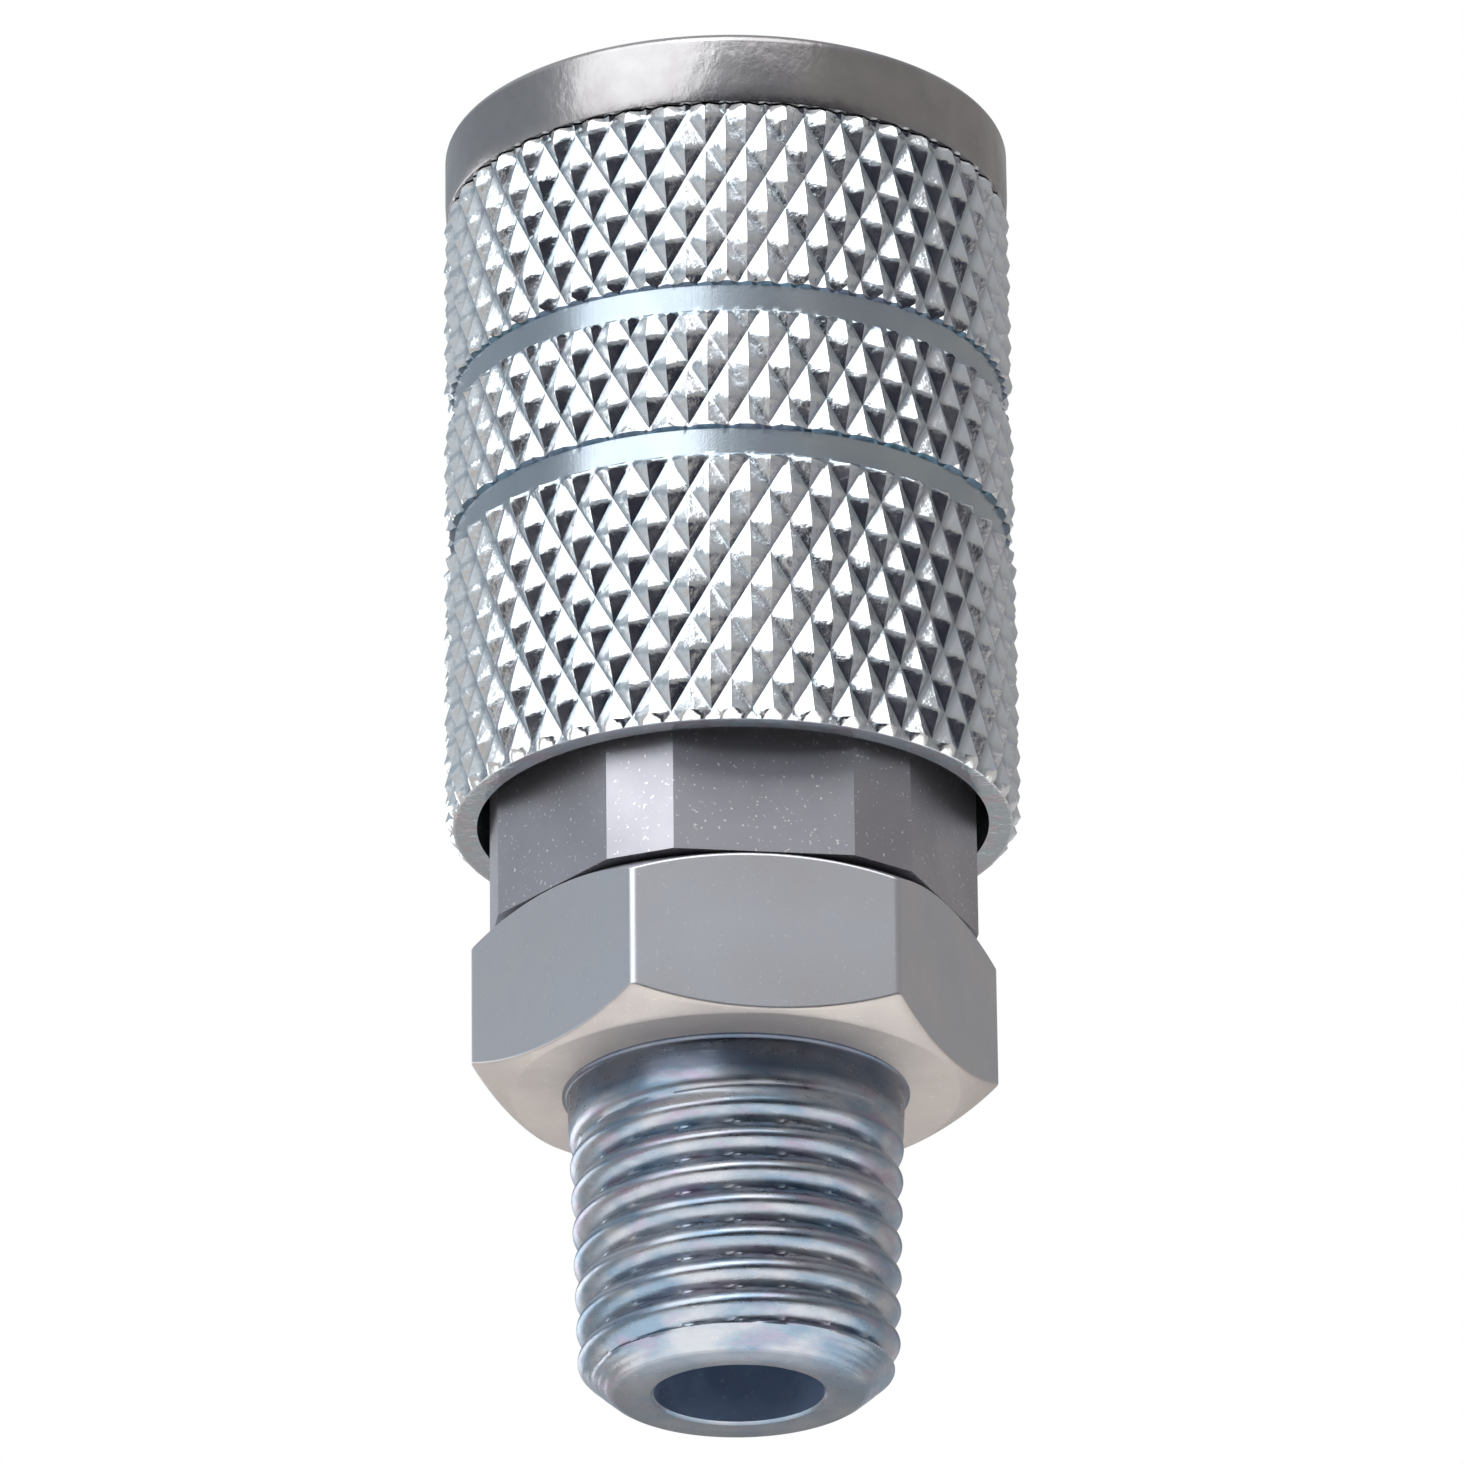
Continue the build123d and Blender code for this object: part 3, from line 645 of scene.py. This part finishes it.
def sleeve_piece(sizes):
    """The knurled sleeve, with its grooves outside and its land, cam and recess inside."""
    per_diamond = 12
    angles = np.arange(sizes.knurl_count * per_diamond) * TURN / (sizes.knurl_count * per_diamond)
    bottom, top, radius = low("sleeve"), high("sleeve"), reach("sleeve")
    step = sizes.knurl_height / per_diamond
    heights = list(np.arange(math.ceil(bottom / step) * step, top, step))
    marks = [bottom + SLEEVE_EDGE, bottom + SLEEVE_EDGE / 2, top - KNURL_EDGE, top]
    for groove in GROOVES:
        marks += [groove - KNURL_EDGE, groove - KNURL_EDGE / 2, groove, groove + GROOVE_WIDTH]
        marks += [groove + GROOVE_WIDTH + KNURL_EDGE / 2, groove + GROOVE_WIDTH + KNURL_EDGE]
    # an even row too close to a mark would make thin faces
    near = 0.25 * step
    heights = [h for h in heights if h > bottom + near and all(abs(h - mark) > near for mark in marks)]
    heights = sorted(heights + marks)
    edge = sizes.edge_break
    rows = [(radius - SLEEVE_EDGE - edge, bottom), (radius - SLEEVE_EDGE, bottom + 0.3 * edge)]
    first = len(rows)
    for height in heights:
        plain = sleeve_outline(height, bottom, top, radius)
        rows.append((np.minimum(radius - knurl(sizes, angles, height), plain), height))
    outer = len(rows)
    bands = []
    for groove in GROOVES:
        start = first + next(n for n, height in enumerate(heights) if height >= groove - KNURL_EDGE)
        end = first + heights.index(groove + GROOVE_WIDTH)
        # the row at each groove's top edge takes the painted shadow
        bands += [(start, end, TURNED), (end, end + 1, GROOVE_SHADOW)]
    shoulder = high("thrust_washer") + SEAT_GAP
    bore = [
        (SLEEVE_RECESS, top),
        (SLEEVE_RECESS, CAM_END),
        (SLEEVE_LAND, CAM_START),
        (SLEEVE_LAND, shoulder),
        (SLEEVE_BORE, shoulder),
        (SLEEVE_BORE, bottom),
    ]
    rows += chain(bore, edge)

    def split(row, radii, places, turns):
        """Splits the knurl's faces along the diagonal that lies closer to its true shape."""
        if not 1 < row < outer - 1:
            return None
        middle = (places[row] + places[row + 1]) / 2
        plain = sleeve_outline(middle[0], bottom, top, radius)
        half = turns[1] / 2
        true = np.minimum(radius - knurl(sizes, turns + half, middle[0]), plain)
        one = (radii[row] + np.roll(radii[row + 1], -1)) / 2
        other = (np.roll(radii[row], -1) + radii[row + 1]) / 2
        return np.abs(one - true) <= np.abs(other - true)

    bands.append((outer, len(rows) - 1, TURNED))
    return turned_mesh("sleeve_mesh", rows, angles, bands, split, crease=28)


def collar_piece(sizes):
    """The smooth band at the mouth, with its skirt inside the sleeve."""
    radius = reach("nose_collar")
    middle = (low("collar_ring") + high("collar_ring")) / 2
    inner = [
        (COLLAR_BORE + NOSE_RECESS, LENGTH),
        (COLLAR_BORE, LENGTH - NOSE_RECESS),
        (COLLAR_BORE, middle + RING_HALF),
        (RING_GROOVE, middle + RING_HALF),
        (RING_GROOVE, middle - RING_HALF),
        (COLLAR_BORE, middle - RING_HALF),
        (COLLAR_BORE, low("nose_collar")),
        (SKIRT_TOE, low("nose_collar")),
        (SKIRT_RADIUS, CAM_END),
        (SKIRT_RADIUS, COLLAR_BOTTOM),
        (radius, COLLAR_BOTTOM),
    ]
    rows = chain(inner, sizes.edge_break)
    straight = LENGTH - COLLAR_EDGE - COLLAR_BOTTOM
    rows += [(radius, COLLAR_BOTTOM + share * straight) for share in (0.3, 0.6, 1.0)]
    for swing in np.linspace(0.1, 1.0, 8) * TURN / 4:
        rounded = radius - COLLAR_EDGE * (1 - math.cos(swing))
        rows.append((rounded, LENGTH - COLLAR_EDGE * (1 - math.sin(swing))))
    return turned_mesh("nose_collar_mesh", rows, np.arange(256) * TURN / 256, crease=30)


def spring_piece(name, wire, pitch, radius, bottom, top):
    """A compression spring with closed ends ground flat, from one seat to the other."""
    per_turn, around = 64, 14
    ground = 0.3 * wire
    rise = top - bottom - wire + 2 * ground
    # one closed turn at each end, and as many open turns as the rest of the rise holds
    turns = (rise - 2 * wire) / pitch + 2
    steps = int(turns * per_turn) + 1
    at = np.linspace(0, turns, steps)
    # from 0.7 to 1.3 turns from each end, the coils open from the wire's size to the pitch
    opened = smooth_step((at - 0.7) / 0.6) * smooth_step((turns - 0.7 - at) / 0.6)
    slope = wire + (pitch - wire) * opened
    climbed = np.concatenate([[0], np.cumsum((slope[1:] + slope[:-1]) / 2)])
    heights = bottom + wire / 2 - ground + climbed / climbed[-1] * rise
    points = []
    for share, height in zip(at, heights):
        out = np.array([math.cos(share * TURN), math.sin(share * TURN), 0])
        for side in range(around):
            swing = TURN * side / around
            point = out * (radius + wire / 2 * math.cos(swing))
            points.append((point[0], point[1], min(max(height + wire / 2 * math.sin(swing), bottom), top)))
    faces = [list(range(around))[::-1], list(range((steps - 1) * around, steps * around))]
    for step in range(steps - 1):
        for side in range(around):
            after = (side + 1) % around
            start = step * around
            faces.append([start + side, start + after, start + around + after, start + around + side])
    mesh = bpy.data.meshes.new(name)
    mesh.from_pydata(points, [], faces)
    return new_piece(name, mesh, 40)


# ---- Operators ----
class CouplerStep(bpy.types.Operator):
    """What every step shares: the scene's sizes and colours. It is not registered itself."""

    @property
    def sizes(self):
        """The coupler's sizes of surface detail."""
        return bpy.context.scene.coupler_sizes

    @property
    def colours(self):
        """The coupler's base colours."""
        return bpy.context.scene.coupler_colours


class COUPLER_OT_adapter(CouplerStep):
    """Pipe thread and hexagon in place of the plain adapter"""

    bl_idname = "coupler.adapter"
    bl_label = "Adapter"

    def execute(self, context):
        piece = adapter_piece(self.sizes)
        hexagon = satin_zinc("satin_zinc_hexagon", self.colours.hexagon, linear("C6C8CE"), 0.3, 0.33)
        bore = satin_zinc("satin_zinc_bore", linear("AABFDB"), linear("7D8FAA"), 0.2, 0.5)
        face = satin_zinc("satin_zinc_faced", linear("BDB8B5"), linear("B2ADAC"), 0.2, 0.5)
        give(piece, passivated_zinc(self.colours), hexagon, bore, face)
        stand_in(piece, "adapter", "root")
        return {"FINISHED"}


class COUPLER_OT_socket_body(CouplerStep):
    """Finish of the flange and barrel"""

    bl_idname = "coupler.socket_body"
    bl_label = "Socket body"

    def execute(self, context):
        give("socket_body", satin_zinc("satin_zinc_body", self.colours.body, linear("A8A7AE"), 0.9, 0.38))
        return {"FINISHED"}


class COUPLER_OT_sleeve(CouplerStep):
    """Knurled sleeve in place of the plain one"""

    bl_idname = "coupler.sleeve"
    bl_label = "Sleeve"

    def execute(self, context):
        piece = sleeve_piece(self.sizes)
        turned = satin_zinc("satin_zinc_turned", linear("BAC3CA"), linear("A9B4BE"), 0.1, 0.22)
        # painted shadow: dark blue-teal along the top edge of each groove
        corner = satin_zinc("satin_zinc_groove_shadow", linear("4F6A7A"), linear("5C6678"), 0.0, 0.3)
        give(piece, knurled_zinc(self.colours, self.sizes, reach("sleeve")), turned, corner)
        stand_in(piece, "sleeve", "sleeve")
        return {"FINISHED"}


class COUPLER_OT_nose_collar(CouplerStep):
    """Mouth band with broken edges, and the finish of the thrust washer"""

    bl_idname = "coupler.nose_collar"
    bl_label = "Nose collar"

    def execute(self, context):
        piece = collar_piece(self.sizes)
        steel = tumbled_steel(self.colours)
        give(piece, steel)
        give("thrust_washer", steel)
        stand_in(piece, "nose_collar", "root")
        return {"FINISHED"}


class COUPLER_OT_springs(CouplerStep):
    """Both springs, with closed and ground ends"""

    bl_idname = "coupler.springs"
    bl_label = "Springs"

    def execute(self, context):
        wire_steel = drawn_wire(self.colours)
        give("collar_ring", wire_steel)
        springs = (
            ("sleeve_spring", self.sizes.sleeve_wire, self.sizes.sleeve_pitch, "sleeve_slide"),
            ("valve_spring", self.sizes.valve_wire, self.sizes.valve_pitch, "valve_slide"),
        )
        for node, wire, pitch, joint in springs:
            bottom, top = low(node), high(node)
            piece = spring_piece(f"{node}_mesh", wire, pitch, reach(node) - wire / 2, bottom, top)
            give(piece, wire_steel)
            stand_in(piece, node, "root")
            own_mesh(piece)
        return {"FINISHED"}


class COUPLER_OT_balls(CouplerStep):
    """Finish of the locking balls"""

    bl_idname = "coupler.balls"
    bl_label = "Balls"

    def execute(self, context):
        steel = polished_steel(self.colours)
        for node in frame["nodes"]:
            if node.startswith("ball_"):
                give(node, steel)
        return {"FINISHED"}


class COUPLER_OT_valve(CouplerStep):
    """Finish of the brass valve pieces"""

    bl_idname = "coupler.valve"
    bl_label = "Valve"

    def execute(self, context):
        brass = turned_brass(self.colours)
        for node in ("valve_poppet", "valve_guide", "valve_seat", "seal_ring"):
            give(node, brass)
        return {"FINISHED"}


class COUPLER_OT_seals(CouplerStep):
    """Finish of the rubber seals"""

    bl_idname = "coupler.seals"
    bl_label = "Seals"

    def execute(self, context):
        rubber = moulded_rubber(self.colours)
        for node in ("joint_seal", "plug_seal", "valve_face"):
            give(node, rubber)
        return {"FINISHED"}


# ---- Stage ----
FLOOR_RADIUS = 0.5
FLOOR_HEIGHT = -0.30
SENSOR_WIDTH = 36
FOCAL_LENGTH = 298.6
CAMERA_PLACE = (0, -0.4655, -0.169)
CAMERA_PITCH = math.radians(90 + 23.08)
CAMERA_ROLL = math.radians(-0.63)
# Name, azimuth, elevation, distance, width and height, and glow of each soft box
SOFT_BOXES = (
    ("key", -37, 36, 1.0, (0.94, 1.2), 1.75),
    ("front_high", 10, 55, 1.0, (0.7, 0.75), 1.9),
    ("left_back", -132, 4, 1.0, (0.95, 0.38), 1.8),
)
FLOOR_LIGHT = ("overhead", 180, 88, 1.1, (1.3, 1.3), 5.0)


def toward(azimuth, elevation):
    """A direction out from the coupler. Azimuth 0 is the front, and azimuths grow to the right."""
    turn, lift = math.radians(azimuth), math.radians(elevation)
    return Vector((math.sin(turn) * math.cos(lift), -math.cos(turn) * math.cos(lift), math.sin(lift)))


def soft_box(name, azimuth, elevation, distance, size, glow):
    """A soft box that faces the coupler. Its glow is its brightness, where 1 is paper white."""
    light = bpy.data.lights.new(name, "AREA")
    light.shape = "RECTANGLE"
    light.size, light.size_y = size
    light.energy = glow * math.pi * size[0] * size[1]
    lamp = bpy.data.objects.new(name, light)
    away = toward(azimuth, elevation)
    lamp.location = Vector((0, 0, LENGTH / 2)) + away * distance
    lamp.rotation_mode = "QUATERNION"
    lamp.rotation_quaternion = away.to_track_quat("Z", "Y")
    lamp.visible_camera = False
    bpy.context.scene.collection.objects.link(lamp)
    return lamp


def studio_world():
    """A white background, and a room that only lights the coupler and shows in its metal.

    The room is pale at the left, grey at the right and dark low in front, with a grey card high in front.
    """
    world = bpy.data.worlds.new("studio")
    world.use_nodes = True
    tree = world.node_tree
    tree.nodes.clear()
    way = add(tree, "ShaderNodeTexCoord").outputs["Generated"]
    parts = add(tree, "ShaderNodeSeparateXYZ", (way,)).outputs
    # shares of the way to the right, to the back and away from the dark front
    right = add(tree, "ShaderNodeMapRange", (parts["X"], -0.2, 0.5, 0, 1))
    back = add(tree, "ShaderNodeMapRange", (parts["Y"], 0.2, 0.9, 0, 1))
    facing = add(tree, "ShaderNodeVectorMath", (way, toward(8, 0)), operation="DOT_PRODUCT")
    front = add(tree, "ShaderNodeMapRange", (facing, 0.75, 0.55, 0, 1))
    dusk = add(tree, "ShaderNodeMix", {0: back, 6: linear("95939A"), 7: linear("D0D1D4")}, data_type="RGBA")
    horizon = add(tree, "ShaderNodeMix", {0: right, 6: linear("CDD1D5"), 7: dusk}, data_type="RGBA")
    horizon = add(tree, "ShaderNodeMix", {0: front, 6: linear("2C2C38"), 7: horizon}, data_type="RGBA")
    walls = add(tree, "ShaderNodeMix", {0: right, 6: linear("A6AEB6"), 7: linear("A4A2A0")}, data_type="RGBA")
    ceiling = {0: right, 6: linear("D8DCE0"), 7: linear("A8A8AC")}
    ceiling = add(tree, "ShaderNodeMix", ceiling, data_type="RGBA")
    ground = {0: front, 6: linear("2C2A35"), 7: linear("C4BDB8")}
    ground = add(tree, "ShaderNodeMix", ground, data_type="RGBA")
    # from the ground up to the horizon, the walls and the ceiling, each with a soft edge
    room = ground
    for low_edge, high_edge, layer in ((-0.16, -0.06, horizon), (0.08, 0.22, walls), (0.5, 0.7, ceiling)):
        share = add(tree, "ShaderNodeMapRange", (parts["Z"], low_edge, high_edge, 0, 1))
        room = add(tree, "ShaderNodeMix", {0: share, 6: room, 7: layer}, data_type="RGBA")
    # the card is full to 7 degrees from its middle and ends at 12
    near = add(tree, "ShaderNodeVectorMath", (way, toward(18, 23)), operation="DOT_PRODUCT")
    outer, inner = math.cos(math.radians(12)), math.cos(math.radians(7))
    share = add(tree, "ShaderNodeMapRange", (near, outer, inner, 0, 1))
    room = add(tree, "ShaderNodeMix", {0: share, 6: room, 7: linear("7E8088")}, data_type="RGBA")
    lit = add(tree, "ShaderNodeBackground", {"Color": room, "Strength": 1.0})
    seen = add(tree, "ShaderNodeBackground", {"Color": linear("FFFFFF"), "Strength": 1.0})
    direct = add(tree, "ShaderNodeLightPath").outputs["Is Camera Ray"]
    shown = add(tree, "ShaderNodeMixShader", (direct, lit, seen))
    add(tree, "ShaderNodeOutputWorld", {"Surface": shown})
    bpy.context.scene.world = world


class COUPLER_OT_stage(CouplerStep):
    """Pale floor, soft boxes, studio room and camera"""

    bl_idname = "coupler.stage"
    bl_label = "Stage"

    def execute(self, context):
        around = [TURN * side / 64 for side in range(64)]
        corners = [(FLOOR_RADIUS * math.cos(a), FLOOR_RADIUS * math.sin(a), FLOOR_HEIGHT) for a in around]
        mesh = bpy.data.meshes.new("floor")
        mesh.from_pydata(corners, [], [list(range(64))])
        floor = bpy.data.objects.new("floor", mesh)
        context.scene.collection.objects.link(floor)
        give(floor, studio_floor(self.colours))
        for box in SOFT_BOXES:
            soft_box(*box)
        # this one lights the floor, and the metal doesn't mirror it
        soft_box(*FLOOR_LIGHT).visible_glossy = False
        studio_world()
        camera_data = bpy.data.cameras.new("camera")
        camera_data.sensor_width = SENSOR_WIDTH
        camera_data.lens = FOCAL_LENGTH
        camera = bpy.data.objects.new("camera", camera_data)
        camera.location = CAMERA_PLACE
        turned = Matrix.Rotation(CAMERA_PITCH, 3, "X") @ Matrix.Rotation(CAMERA_ROLL, 3, "Z")
        camera.rotation_euler = turned.to_euler()
        context.scene.collection.objects.link(camera)
        context.scene.camera = camera
        context.scene.view_settings.view_transform = "Standard"
        return {"FINISHED"}


STEPS = (
    COUPLER_OT_adapter,
    COUPLER_OT_socket_body,
    COUPLER_OT_sleeve,
    COUPLER_OT_nose_collar,
    COUPLER_OT_springs,
    COUPLER_OT_balls,
    COUPLER_OT_valve,
    COUPLER_OT_seals,
    COUPLER_OT_stage,
)


class COUPLER_PT_build(bpy.types.Panel):
    """Lists the build's steps"""

    bl_idname = "COUPLER_PT_build"
    bl_label = "Coupler"
    bl_space_type = "VIEW_3D"
    bl_region_type = "UI"
    bl_category = "Coupler"

    def draw(self, context):
        """One button for each step."""
        for step in STEPS:
            self.layout.operator(step.bl_idname)


CLASSES = (CouplerSizes, CouplerColours, *STEPS, COUPLER_PT_build)


def register():
    """Adds the classes, and the settings of a scene."""
    for item in CLASSES:
        bpy.utils.register_class(item)
    bpy.types.Scene.coupler_sizes = bpy.props.PointerProperty(type=CouplerSizes)
    bpy.types.Scene.coupler_colours = bpy.props.PointerProperty(type=CouplerColours)


def unregister():
    """Takes away what register added."""
    del bpy.types.Scene.coupler_colours
    del bpy.types.Scene.coupler_sizes
    for item in reversed(CLASSES):
        bpy.utils.unregister_class(item)


def main():
    """Registers the add-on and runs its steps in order."""
    register()
    for step in STEPS:
        family, name = step.bl_idname.split(".")
        getattr(getattr(bpy.ops, family), name)()


if __name__ == "__main__":
    main()
